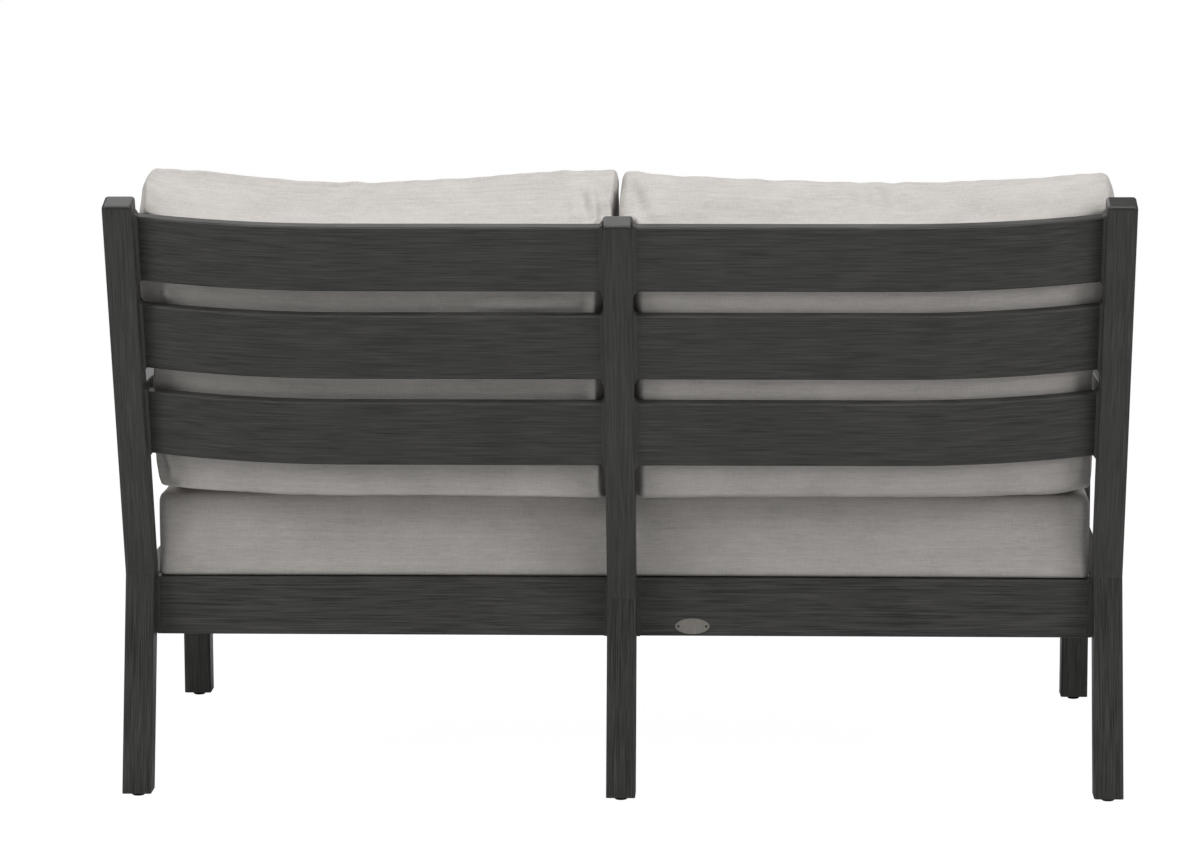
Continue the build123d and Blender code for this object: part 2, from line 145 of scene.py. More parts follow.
class CushionSettings(PropertyGroup):
    fabric_colour: FloatVectorProperty(
        name="Fabric Colour", description="Woven taupe of the cushion covers", subtype="COLOR",
        default=(0.50, 0.475, 0.452), min=0, max=1,
    )
    thread_pitch: FloatProperty(
        name="Thread Pitch", description="Distance between two threads",
        unit="LENGTH", default=0.0012, min=0.0004,
    )
    slat_thickness: FloatProperty(
        name="Slat Thickness", description="Thickness of the back slats",
        unit="LENGTH", default=0.016, min=0.001,
    )
    straight_half: FloatProperty(
        name="Straight Half Run", description="Half of the slats' straight run",
        unit="LENGTH", default=0.385, min=0,
    )
    clearance: FloatProperty(
        name="Clearance", description="Air between a cover and the frame",
        unit="LENGTH", default=0.0006, min=0,
    )
    edge_rounding: FloatProperty(
        name="Edge Rounding", description="How far the boxing is drawn in at a seam", unit="LENGTH",
        default=0.009, min=0,
    )
    draw_in: FloatProperty(
        name="Draw In", description="How far a seam pulls in between two corners", unit="LENGTH",
        default=0.004, min=0,
    )
    seat_corner: FloatProperty(
        name="Seat Corner", description="Corner radius of the seat cushion",
        unit="LENGTH", default=0.013, min=0,
    )
    back_corner: FloatProperty(
        name="Back Corner", description="Corner radius of the back cushions",
        unit="LENGTH", default=0.014, min=0,
    )
    back_crown: FloatProperty(
        name="Back Crown", description="Swell of the back cushions' front panel", unit="LENGTH",
        default=0.026, min=0,
    )
    side_seam: FloatProperty(
        name="Side Seam", description="How far the outer seams lie inside the boxing", unit="LENGTH",
        default=0.012, min=0,
    )
    arm_gap: FloatProperty(
        name="Arm Gap", description="Air between a back cushion and an arm",
        unit="LENGTH", default=0.0015, min=0,
    )
    seam_depth: FloatProperty(
        name="Seam Depth", description="How far a seam draws the cover in",
        unit="LENGTH", default=0.0022, min=0,
    )
    frames: IntProperty(
        name="Cloth Frames", description="Frames over which the covers are blown up",
        default=16, min=1, max=60,
    )


class StageSettings(PropertyGroup):
    lens: FloatProperty(
        name="Lens", description="Focal length of the camera", unit="CAMERA", default=127.5, min=10,
    )
    camera_place: FloatVectorProperty(
        name="Camera Place", description="Where the photograph was taken from", subtype="TRANSLATION",
        unit="LENGTH", default=(-0.1908, 6.1834, 1.4466),
    )
    yaw: FloatProperty(
        name="Yaw", description="Turn of the camera from -Y", unit="ROTATION", default=0.03719,
    )
    pitch: FloatProperty(
        name="Pitch", description="Tilt of the camera down", unit="ROTATION", default=0.15285,
    )
    roll: FloatProperty(
        name="Roll", description="Roll of the camera", unit="ROTATION", default=-0.003,
    )
    floor_colour: FloatVectorProperty(
        name="Floor Colour", description="Pale floor",
        subtype="COLOR", default=(0.62, 0.62, 0.62), min=0, max=1,
    )
    backdrop_share: FloatProperty(
        name="Backdrop Share", description="How much of the floor's own white shows", subtype="FACTOR",
        default=0.9, min=0, max=1,
    )
    backdrop_strength: FloatProperty(
        name="Backdrop Strength", description="Brightness of the floor's own white",
        default=1.095, min=0,
    )
    key_power: FloatProperty(
        name="Overhead Light", description="Power of the soft light overhead",
        unit="POWER", default=88, min=0,
    )
    fill_power: FloatProperty(
        name="Side Lights", description="Power of each soft light at the side",
        unit="POWER", default=57, min=0,
    )
    sky_strength: FloatProperty(
        name="Sky Strength", description="Even light from all around", default=0.18, min=0,
    )


# Shader arithmetic: sockets that add, subtract, multiply and compare
class Socket:
    """An output of a node, in the shader that it belongs to."""

    def __init__(self, tree, socket):
        self.tree = tree
        self.socket = socket

    def math(self, operation, *values):
        return self.tree.node("ShaderNodeMath", {"operation": operation}, values)

    def __add__(self, other):
        return self.math("ADD", self, other)

    def __radd__(self, other):
        return self.math("ADD", other, self)

    def __sub__(self, other):
        return self.math("SUBTRACT", self, other)

    def __rsub__(self, other):
        return self.math("SUBTRACT", other, self)

    def __mul__(self, other):
        return self.math("MULTIPLY", self, other)

    def __rmul__(self, other):
        return self.math("MULTIPLY", other, self)

    def __truediv__(self, other):
        return self.math("DIVIDE", self, other)

    def __gt__(self, other):
        return self.math("GREATER_THAN", self, other)

    def __abs__(self):
        return self.math("ABSOLUTE", self)

    def sine(self):
        return self.math("SINE", self)


class Shader:
    """The node tree of a material or a world, built from wrapped sockets."""

    def __init__(self, owner):
        self.owner = owner
        owner.use_nodes = True
        self.tree = owner.node_tree
        self.tree.nodes.clear()

    def node(self, kind, settings=None, inputs=(), output=0):
        """Makes a node with its settings, links or sets its inputs, and gives back one output."""
        made = self.tree.nodes.new(kind)
        for key, value in (settings or {}).items():
            if key == "stops":
                self.set_stops(made.color_ramp, value)
            else:
                setattr(made, key, value)
        pairs = inputs.items() if isinstance(inputs, dict) else enumerate(inputs)
        for key, value in pairs:
            if isinstance(value, Socket):
                self.tree.links.new(value.socket, made.inputs[key])
            else:
                made.inputs[key].default_value = value
        return Socket(self, made.outputs[output]) if made.outputs else None

    def set_stops(self, ramp, stops):
        for number, (place, colour) in enumerate(stops):
            element = ramp.elements[number] if number < 2 else ramp.elements.new(place)
            element.position = place
            element.color = colour

    def along(self, place, direction):
        """How far a place lies along a direction."""
        return self.node(
            "ShaderNodeVectorMath", {"operation": "DOT_PRODUCT"}, {0: place, 1: direction}, "Value"
        )

    def vector(self, x, y, z):
        return self.node("ShaderNodeCombineXYZ", {}, (x, y, z))

    def noise(self, place, scale, detail=2.0, roughness=0.5):
        return self.node(
            "ShaderNodeTexNoise",
            {},
            {"Vector": place, "Scale": scale, "Detail": detail, "Roughness": roughness},
            "Fac",
        )

    def mix(self, share, low, high):
        return self.node(
            "ShaderNodeMix", {"data_type": "RGBA"}, {0: share, 6: low, 7: high}, 2
        )

    def ramp(self, share, tones, end_shares):
        """Three tones from dark to light, of which the outer two are reached at the end shares."""
        dark, middle, light = tones
        stops = ((end_shares[0], dark), (end_shares[1], light), (0.5, middle))
        return self.node("ShaderNodeValToRGB", {"stops": stops}, (share,))

    def blend(self, parts, shares):
        """Adds marks up by their shares."""
        total = parts[0] * shares[0]
        for part, share in zip(parts[1:], shares[1:]):
            total = total + part * share
        return total

    def varied(self, mark, middle, spread):
        """A value that follows a mark, on both sides of a middle one."""
        return mark * spread + (middle - spread / 2)

    def bump(self, height, distance, strength=1.0):
        return self.node(
            "ShaderNodeBump", {}, {"Strength": strength, "Distance": distance, "Height": height}
        )

    def surface(self, **inputs):
        """Ends the material in a Principled BSDF with these inputs."""
        named = {key.replace("_", " "): value for key, value in inputs.items()}
        finish = self.node("ShaderNodeBsdfPrincipled", {}, named)
        self.node("ShaderNodeOutputMaterial", {}, {"Surface": finish})
        return self.owner

    def camera_rays(self):
        """1 for rays from the camera, 0 for rays that bring light or reflections."""
        return self.node("ShaderNodeLightPath", {}, (), "Is Camera Ray")


def object_shader(name):
    """A new material with its object coordinates."""
    shader = Shader(bpy.data.materials.new(name))
    return shader, shader.node("ShaderNodeTexCoord", {}, (), "Object")


def grey(colour, level):
    """A colour made lighter or darker, with full alpha."""
    return tuple(channel * level for channel in colour) + (1.0,)


# How often the marks of each finish repeat, per metre; a pair is along and across
PAINT_CLOUD = 11.0
CAST_GRAIN = 260.0
CAST_CLOUD = 30.0
NYLON_GRAIN = 900.0
STEEL_LINES = (90.0, 2600.0)
STEEL_STAIN = 170.0
RIVET_GRAIN = 1500.0
YARN_MARKS = 55.0
SLUB_MARKS = (34.0, 520.0)
STRIPE_MARKS = (6.0, 150.0)
FABRIC_CLOUD = 16.0

# How deep the grain of each finish is, in metres, and how far the roughness of the paint varies
PAINT_DEPTH = 0.0003
NYLON_DEPTH = 0.0002
STEEL_DEPTH = 0.0001
THREAD_DEPTH = 0.00035
PAINT_SPREAD = 0.3

# Dark and light tones of the small parts
NYLON_TONES = ((0.010, 0.010, 0.010, 1), (0.020, 0.019, 0.018, 1))
STEEL_TONES = ((0.20, 0.187, 0.17, 1), (0.45, 0.43, 0.40, 1))
RIVET_TONES = ((0.03, 0.029, 0.027, 1), (0.09, 0.086, 0.08, 1))


def brushed_paint(
    name, along, first_across, second_across, contrast=1.0, second_fine_share=1.0, painted_shade=1.0
):
    """Slate paint brushed by hand: fine and broad streaks along a member, which wander a little; a factor
    under 1 darkens all of it as painted shade.
    """
    paint = bpy.context.scene.loveseat_paint
    shader, place = object_shader(name)
    length = shader.along(place, along)
    first = shader.along(place, first_across)
    second = shader.along(place, second_across)
    fine = 1 / paint.streak_width
    slow = 1 / paint.streak_length
    broad_fine_share = 0.2
    broad_slow_share = 0.6
    streaks_aside = 1.8
    wander = shader.noise(place, paint.streak_wander) * streaks_aside
    streak_place = shader.vector(
        length * slow, first * fine + wander, second * (fine * second_fine_share) + wander
    )
    broad_place = shader.vector(
        length * (slow * broad_slow_share),
        first * (fine * broad_fine_share) + wander,
        second * (fine * broad_fine_share * second_fine_share),
    )
    streaks = shader.noise(streak_place, 1.0, detail=3.0, roughness=0.6)
    broad = shader.noise(broad_place, 1.0, detail=3.0, roughness=0.55)
    cloud = shader.noise(place, PAINT_CLOUD, detail=3.0, roughness=0.55)
    mark = shader.blend((streaks, broad, cloud), shares=(0.72, 0.14, 0.14))
    light = painted_shade * (1 + (paint.streak_light - 1) * contrast)
    dark = painted_shade * max(0.0, 1 - (1 - paint.streak_dark) * contrast)
    tones = [grey(paint.paint_colour, level) for level in (dark, painted_shade, light)]
    return shader.surface(
        Base_Color=shader.ramp(mark, tones, end_shares=(0.36, 0.68)),
        Roughness=shader.varied(mark, paint.roughness, PAINT_SPREAD),
        Specular_IOR_Level=paint.gloss,
        Normal=shader.bump(streaks, PAINT_DEPTH, strength=0.5),
    )


def cast_paint(name, painted_shade=1.0, polish=0.0):
    """The same paint on weld beads and caps, where the brush leaves no direction; a factor under 1 darkens
    it as painted shade.
    """
    paint = bpy.context.scene.loveseat_paint
    shader, place = object_shader(name)
    grain = shader.noise(place, CAST_GRAIN, detail=3.0, roughness=0.6)
    cloud = shader.noise(place, CAST_CLOUD)
    mark = shader.blend((grain, cloud), shares=(0.5, 0.5))
    colour = shader.mix(
        mark,
        grey(paint.paint_colour, paint.streak_dark * painted_shade),
        grey(paint.paint_colour, paint.streak_light * painted_shade),
    )
    return shader.surface(
        Base_Color=colour,
        Roughness=shader.varied(mark, paint.roughness - polish, PAINT_SPREAD),
        Specular_IOR_Level=paint.gloss + polish,
        Normal=shader.bump(grain, PAINT_DEPTH, strength=0.5),
    )


def black_nylon(name):
    shader, place = object_shader(name)
    grain = shader.noise(place, NYLON_GRAIN)
    return shader.surface(
        Base_Color=shader.mix(grain, *NYLON_TONES),
        Roughness=shader.varied(grain, middle=0.5, spread=0.2),
        Normal=shader.bump(grain, NYLON_DEPTH, strength=0.4),
    )


def brushed_steel(name):
    shader, place = object_shader(name)
    along, across = STEEL_LINES
    x = shader.along(place, ACROSS)
    z = shader.along(place, UPWARD)
    lines = shader.noise(shader.vector(x * along, 0.0, z * across), 1.0, roughness=0.6)
    stain = shader.noise(place, STEEL_STAIN, detail=3.0, roughness=0.6)
    mark = shader.blend((stain, lines), shares=(0.6, 0.4))
    return shader.surface(
        Base_Color=shader.mix(mark, *STEEL_TONES),
        Metallic=0.85,
        Roughness=shader.varied(lines, middle=0.475, spread=0.25),
        Normal=shader.bump(lines, STEEL_DEPTH, strength=0.5),
    )


def dull_rivet(name):
    shader, place = object_shader(name)
    grain = shader.noise(place, RIVET_GRAIN)
    return shader.surface(
        Base_Color=shader.mix(grain, *RIVET_TONES),
        Metallic=0.6,
        Roughness=shader.varied(grain, middle=0.5, spread=0.2),
    )


def woven_fabric(name):
    """Plain weave of heathered yarn, on the cover's own cloth map in metres."""
    cushion = bpy.context.scene.loveseat_cushions
    shader = Shader(bpy.data.materials.new(name))
    cloth = shader.node("ShaderNodeUVMap", {"uv_map": "cloth"})
    u = shader.along(cloth, ACROSS)
    v = shader.along(cloth, REARWARD)

    def marks(along_u, along_v, layer, detail, roughness):
        """Noise that repeats at its own rate each way; every layer is another slice of it."""
        return shader.noise(shader.vector(u * along_u, v * along_v, layer), 1.0, detail, roughness)

    half_turns = pi / cushion.thread_pitch
    crossing = (u * half_turns).sine() * (v * half_turns).sine()
    warp_on_top = crossing > 0.0
    marks_per_thread = 0.9
    yarn_marks = marks_per_thread / cushion.thread_pitch
    warp_yarn = marks(yarn_marks, YARN_MARKS, layer=0.0, detail=2.0, roughness=0.7)
    weft_yarn = marks(YARN_MARKS, yarn_marks, layer=3.0, detail=2.0, roughness=0.7)
    slub = marks(*SLUB_MARKS, layer=7.0, detail=4.0, roughness=0.65)
    stripe = marks(*STRIPE_MARKS, layer=9.0, detail=3.0, roughness=0.6)
    cloud = shader.noise(shader.vector(u, v, 1.0), FABRIC_CLOUD, detail=3.0)
    yarn = warp_yarn * warp_on_top + weft_yarn * (1.0 - warp_on_top)
    tone = shader.blend((yarn, slub, stripe, cloud), shares=(0.4, 0.28, 0.16, 0.16))
    tone_shares = (0.70, 1.0, 1.24)
    tones = [grey(cushion.fabric_colour, share) for share in tone_shares]
    height = shader.blend((abs(crossing), yarn, slub), shares=(0.6, 0.5, 0.5))
    return shader.surface(
        Base_Color=shader.ramp(tone, tones, end_shares=(0.34, 0.66)),
        Roughness=0.95,
        Normal=shader.bump(height, THREAD_DEPTH, strength=0.6),
        Sheen_Weight=0.15,
        Sheen_Roughness=0.5,
        Specular_IOR_Level=0.15,
    )


def dress(names, material):
    """Gives CAD nodes a material."""
    for name in names:
        slots = nodes[name].data.materials
        slots.clear()
        slots.append(material)


def add_piece(mesh, name, material, node, smooth_angle):
    """Turns a finished bmesh into a piece of the frame that stands for a CAD node."""
    bmesh.ops.recalc_face_normals(mesh, faces=mesh.faces)
    for face in mesh.faces:
        face.smooth = True
    data = bpy.data.meshes.new(name)
    mesh.to_mesh(data)
    mesh.free()
    data.set_sharp_from_angle(angle=smooth_angle)
    data.materials.append(material)
    piece = bpy.data.objects.new(name, data)
    bpy.context.scene.collection.objects.link(piece)
    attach(piece, "frame")
    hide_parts(node)


# Over what length the cloth gives way before a limit
SOFTNESS = 0.002


def soft_limit(value, limit, softness=SOFTNESS):
    """Keeps a value at or under a limit, with a rounded approach to it."""
    over = value - (limit - softness)
    if over <= 0:
        return value
    return limit - softness * exp(-over / softness)


def soft_floor(value, limit, softness=SOFTNESS):
    """Keeps a value at or over a limit, with a rounded approach to it."""
    return -soft_limit(-value, -limit, softness)


def bulge(share):
    """A crown that is 1 in the middle of a span from -1 to 1, and 0 at its ends."""
    return max(0.0, 1 - share * share)


def rounding(share, power):
    """How far a rounded edge is drawn in: 0 in the middle of a span from -1 to 1, and 1 at its ends."""
    return 1 - max(0.0, 1 - abs(share) ** power) ** (1 / power)


def ease(value, start, end):
    """Rises smoothly from 0 at the start to 1 at the end."""
    share = min(max((value - start) / (end - start), 0.0), 1.0)
    return share * share * (3 - 2 * share)


def round_corners(x, y, half_x, half_y, radius_x, radius_y):
    """Draws the corners of a rectangle of points in to a radius each way."""
    u = (abs(x) - (half_x - radius_x)) / radius_x
    v = (abs(y) - (half_y - radius_y)) / radius_y
    if u <= 0 or v <= 0:
        return x, y
    across = half_x - radius_x + radius_x * u * sqrt(1 - min(v, 1) ** 2 / 2)
    along = half_y - radius_y + radius_y * v * sqrt(1 - min(u, 1) ** 2 / 2)
    return copysign(across, x), copysign(along, y)


def upright_edges(mesh, height):
    """The edges of a box of this height that run up it."""
    return [edge for edge in mesh.edges if abs(edge.verts[0].co.z - edge.verts[1].co.z) > height / 2]


def round_edges(mesh, edges, radius, segments):
    bmesh.ops.bevel(
        mesh, geom=edges, offset=radius, affect="EDGES", segments=segments, profile=0.5, material=-1
    )


# Cushion covers: two panels and a boxing strip, shaped, sewn and blown up as cloth
class Cover:
    """A boxed cushion cover, from its unit box to its place in the loveseat."""

    # How far grid lines move to the edges, and how near the end of the unit box a panel lies
    GRADE_SHARE = 0.4
    PANEL_SHARE = 0.999

    # How far from a seam the cloth keeps its cut size, and how far from it the air moves it less
    CUT_REACH = 0.012
    HELD_REACH = 0.02

    # Puckers, ripples and swells: waves per metre, reach from a seam, and share of the seam's depth
    WAVES = ((48, 0.016, 0.9), (17, 0.05, 0.8), (7, inf, 0.7))
    SEED_STEPS = (3.7, 1.3, 0)
    GROOVE_REACH = 0.0035

    # Where in its half wave a crease starts; how high its ridge is, and how many widths away it stands
    CREASE_END_SHARE = 0.12
    RIDGE_SHARE = 0.55
    RIDGE_WIDTHS = 1.9

    def __init__(self, name, size, cells, seed):
        self.name = name
        self.size = Vector(size)
        self.cells = cells
        self.seed = seed
        self.object = None
        self.rest = []

    def graded(self, place):
        """Moves a grid line of the unit box towards its edge."""
        return place + self.GRADE_SHARE * sin(pi * place) / pi

    def build(self):
        """The closed box of panels and boxing, with a cloth map in metres."""
        mesh = bmesh.new()
        bmesh.ops.create_grid(mesh, x_segments=self.cells[0], y_segments=self.cells[1], size=1.0)
        raised = bmesh.ops.extrude_face_region(mesh, geom=mesh.faces[:])
        top = [item for item in raised["geom"] if isinstance(item, bmesh.types.BMVert)]
        bmesh.ops.translate(mesh, verts=top, vec=UPWARD)
        boxing = upright_edges(mesh, UPWARD.z)
        bmesh.ops.subdivide_edges(mesh, edges=boxing, cuts=self.cells[2] - 1, use_grid_fill=True)
        reach = max(vertex.co.x for vertex in mesh.verts)
        for vertex in mesh.verts:
            x = self.graded(vertex.co.x / reach)
            y = self.graded(vertex.co.y / reach)
            vertex.co = Vector((x, y, vertex.co.z * 2 - 1))
        bmesh.ops.recalc_face_normals(mesh, faces=mesh.faces)
        self.map_cloth(mesh)
        self.rest = [vertex.co.copy() for vertex in mesh.verts]
        data = bpy.data.meshes.new(self.name)
        mesh.to_mesh(data)
        mesh.free()
        self.object = bpy.data.objects.new(self.name, data)
        bpy.context.scene.collection.objects.link(self.object)

    def map_cloth(self, mesh):
        """Lays both panels out flat, and the boxing beside them."""
        layer = mesh.loops.layers.uv.new("cloth")
        for face in mesh.faces:
            facing = max(range(3), key=lambda axis: abs(face.normal[axis]))
            for loop in face.loops:
                a, b, c = (loop.vert.co[axis] * self.size[axis] / 2 for axis in range(3))
                along = b if facing == 0 else a
                loop[layer].uv = (a, b) if facing == 2 else (along, c + self.size.x)

    def place(self, shape):
        """Moves each point from the unit box to the place that the shape gives it."""
        for vertex, unit in zip(self.object.data.vertices, self.rest):
            vertex.co = shape(unit)

    def seam_distance(self, unit):
        """How far a point lies from the nearest seam, over the cloth."""
        a, b, c = (self.size[axis] / 2 * (1 - abs(unit[axis])) for axis in range(3))
        return min(a, b) if abs(unit.z) > self.PANEL_SHARE else c

    def blow_up(self, pressure, slack, limit, frames):
        """Cloth simulation: the panels are cut larger than their seams, and pressure fills them."""
        group = self.object.vertex_groups.new(name="seam")
        for index, unit in enumerate(self.rest):
            group.add([index], exp(-self.seam_distance(unit) / self.CUT_REACH), "REPLACE")
        start = [vertex.co.copy() for vertex in self.object.data.vertices]
        cloth = self.object.modifiers.new("cloth", "CLOTH")
        settings = cloth.settings
        settings.quality = 4
        settings.mass = 0.25
        settings.tension_stiffness = 25
        settings.compression_stiffness = 25
        settings.shear_stiffness = 8
        settings.bending_stiffness = 0.6
        settings.use_pressure = True
        settings.uniform_pressure_force = pressure
        settings.effector_weights.gravity = 0
        settings.vertex_group_shrink = "seam"
        settings.shrink_min = -slack
        settings.shrink_max = 0.0
        cloth.collision_settings.use_collision = False
        scene = bpy.context.scene
        cloth.point_cache.frame_start = 1
        cloth.point_cache.frame_end = frames
        for number in range(1, frames + 1):
            scene.frame_set(number)
        graph = bpy.context.evaluated_depsgraph_get()
        blown = self.object.evaluated_get(graph).data
        moved = [vertex.co.copy() for vertex in blown.vertices]
        self.object.modifiers.remove(cloth)
        self.object.vertex_groups.clear()
        scene.frame_set(1)
        for vertex, unit, before, after in zip(self.object.data.vertices, self.rest, start, moved):
            step = after - before
            reach = step.length
            free = 1 - exp(-self.seam_distance(unit) / self.HELD_REACH)
            if reach > 0:
                vertex.co = before + step * (free * limit * (1 - exp(-reach / limit)) / reach)

    def sew(self, depth):
        """Draws the seams in and puckers the cloth beside them."""
        data = self.object.data
        normals = [vertex.normal.copy() for vertex in data.vertices]
        offset = Vector(self.seed * step for step in self.SEED_STEPS)
        for vertex, unit, normal in zip(data.vertices, self.rest, normals):
            away = self.seam_distance(unit)
            place = Vector(unit[axis] * self.size[axis] / 2 for axis in range(3)) + offset
            push = -depth * exp(-((away / self.GROOVE_REACH) ** 2))
            for waves, reach, share in self.WAVES:
                push += noise.noise(place * waves) * exp(-away / reach) * depth * share
            vertex.co += normal * push

    def fold(self, creases):
        """Presses creases into the cloth: each runs from a start to an end, with a depth and a width."""
        data = self.object.data
        half_wave_share = 1 - 2 * self.CREASE_END_SHARE
        normals = [vertex.normal.copy() for vertex in data.vertices]
        for vertex, normal in zip(data.vertices, normals):
            push = 0
            for start, end, depth, width in creases:
                line = end - start
                share = min(max((vertex.co - start).dot(line) / line.length_squared, 0.0), 1.0)
                offset = vertex.co - start - line * share
                through = offset.dot(normal)
                # A crease marks only the side of the cover that it lies on
                if abs(through) > self.size.z / 3:
                    continue
                away = (offset - normal * through).length / width
                fade = sin(pi * (self.CREASE_END_SHARE + half_wave_share * share))
                ridge = self.RIDGE_SHARE * exp(-((away - self.RIDGE_WIDTHS) ** 2))
                push += depth * fade * (ridge - exp(-(away**2)))
            vertex.co += normal * push

    def finish(self, body, node, fill):
        """Smooths the cover and lets it ride on its body in place of the CAD solid."""
        data = self.object.data
        data.materials.append(bpy.data.materials["cushion_weave"])
        data.polygons.foreach_set("use_smooth", [True] * len(data.polygons))
        finer = self.object.modifiers.new("finer", "SUBSURF")
        finer.levels = 1
        finer.render_levels = 1
        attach(self.object, body)
        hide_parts(node)


# How flat the crown of the seat is across and deep; 1 is a plain arch
SEAT_FLATNESS = (0.6, 0.7)


def seat_surface(x, y):
    """The height of the seat cushion's crowned top at a place."""
    middle = (seat_low + seat_high) / 2
    half = (seat_high - seat_low) / 2
    crown = seat_high.z - seat_edge
    across = bulge((x - middle.x) / half.x) ** SEAT_FLATNESS[0]
    deep = bulge((y - middle.y) / half.y) ** SEAT_FLATNESS[1]
    return seat_edge + crown * across * deep


# Operators, one for each group of pieces
class LOVESEAT_OT_paint_frame(Operator):
    """Brushes the slate paint along every tube of the frame"""

    bl_idname = "loveseat.paint_frame"
    bl_label = "Paint Frame"

    def execute(self, context):
        splay = context.scene.loveseat_paint.splay_angle
        up_leg = Vector((0, -sin(splay), cos(splay)))
        leg_rear = Vector((0, cos(splay), sin(splay)))
        posts = [name for name in nodes if name.startswith("back_post")]
        rear_legs = [name for name in nodes if name.startswith("rear_leg_") and "plug" not in name]
        front_legs = [name for name in nodes if name.startswith("front_leg_") and "plug" not in name]
        slats = [name for name in nodes if "_slat_" in name]
        cross_rails = ["rear_rail", "front_rail"]
        deep_bars = [name for name in nodes if name.startswith(("arm_", "side_rail_", "seat_bar_"))]
        slat_paint = brushed_paint(
            "slat_paint", ACROSS, UP_BACK, BACK_REAR, contrast=0.95, second_fine_share=0.1
        )
        dress(posts, brushed_paint("post_paint", UP_BACK, ACROSS, BACK_REAR, contrast=0.85))
        # Painted shade: the rear legs are darkened to 0.8, partly for less light falling on them from above
        # and partly for their darker mottling; the front legs are darkened to 0.95 for less light under the
        # seat
        dress(rear_legs, brushed_paint("rear_leg_paint", up_leg, ACROSS, leg_rear, contrast=1.2, painted_shade=0.8))
        dress(front_legs, brushed_paint("front_leg_paint", UPWARD, ACROSS, REARWARD, painted_shade=0.95))
        dress(slats, slat_paint)
        dress(cross_rails, brushed_paint("rail_paint", ACROSS, UPWARD, REARWARD, contrast=1.15))
        dress(deep_bars + ["centre_stretcher"], brushed_paint("arm_paint", REARWARD, ACROSS, UPWARD))
        dress([name for name in nodes if "weld" in name], cast_paint("bead_paint"))
        return {"FINISHED"}


class LOVESEAT_OT_fit_caps(Operator):
    """Presses the pillowed caps into the tops of the back posts"""

    bl_idname = "loveseat.fit_caps"
    bl_label = "Fit Post Caps"

    # Shares of the lid's thickness: its rounded edge, the flat rim of its top and how far that is crowned
    EDGE_SHARE = 0.8
    RIM_SHARE = 0.1
    CROWN_SHARE = 0.04

    # Points nearer than this share of the lip's inset become one; edges over the angle stay sharp
    MERGE_SHARE = 0.01
    SHARP_ANGLE = radians(40)

    def execute(self, context):
        paint = context.scene.loveseat_paint
        # Painted shade: the caps' paint is darkened to 0.55 so that their tops look less lit by the light
        # overhead
        finish = cast_paint("cap_paint", painted_shade=0.55, polish=0.1)
        for name in ("left", "middle", "right"):
            self.press(paint, f"post_cap_{name}", f"back_post_{name}", finish)
        return {"FINISHED"}

    def press(self, paint, node, post, finish):
        """A lid with rounded edges over a lip that fills the tube, in place of the CAD cap."""
        left, right = span(node, ACROSS)
        front, rear = span(node, BACK_REAR)
        lip_end, top = span(node, UP_BACK)
        seat = span(post, UP_BACK)[1]
        slab = top - seat
        mesh = bmesh.new()
        bmesh.ops.create_cube(mesh, size=1.0)
        bmesh.ops.scale(mesh, vec=Vector((right - left, rear - front, slab)), verts=mesh.verts)
        upright = upright_edges(mesh, slab)
        round_edges(mesh, upright, paint.cap_corner, 5)
        rim = [edge for edge in mesh.edges if all(vertex.co.z > 0 for vertex in edge.verts)]
        round_edges(mesh, rim, slab * self.EDGE_SHARE, 6)
        crown = max(mesh.faces, key=lambda face: face.calc_center_median().z)
        bmesh.ops.inset_region(mesh, faces=[crown], thickness=slab * self.RIM_SHARE)
        bmesh.ops.poke(mesh, faces=[crown], offset=slab * self.CROWN_SHARE)
        under = min(mesh.faces, key=lambda face: face.calc_center_median().z)
        bmesh.ops.inset_region(mesh, faces=[under], thickness=paint.cap_lip_inset)
        lip = bmesh.ops.extrude_discrete_faces(mesh, faces=[under])["faces"]
        bmesh.ops.translate(mesh, verts=lip[0].verts, vec=UPWARD * (lip_end - seat))
        bmesh.ops.remove_doubles(mesh, verts=mesh.verts, dist=paint.cap_lip_inset * self.MERGE_SHARE)
        middle = ACROSS * ((left + right) / 2) + BACK_REAR * ((front + rear) / 2)
        turn = Matrix((ACROSS, BACK_REAR, UP_BACK)).transposed()
        place = Matrix.Translation(middle + UP_BACK * (seat + slab / 2)) @ turn.to_4x4()
        bmesh.ops.transform(mesh, matrix=place, verts=mesh.verts)
        add_piece(mesh, f"{node}_pillow", finish, node, self.SHARP_ANGLE)


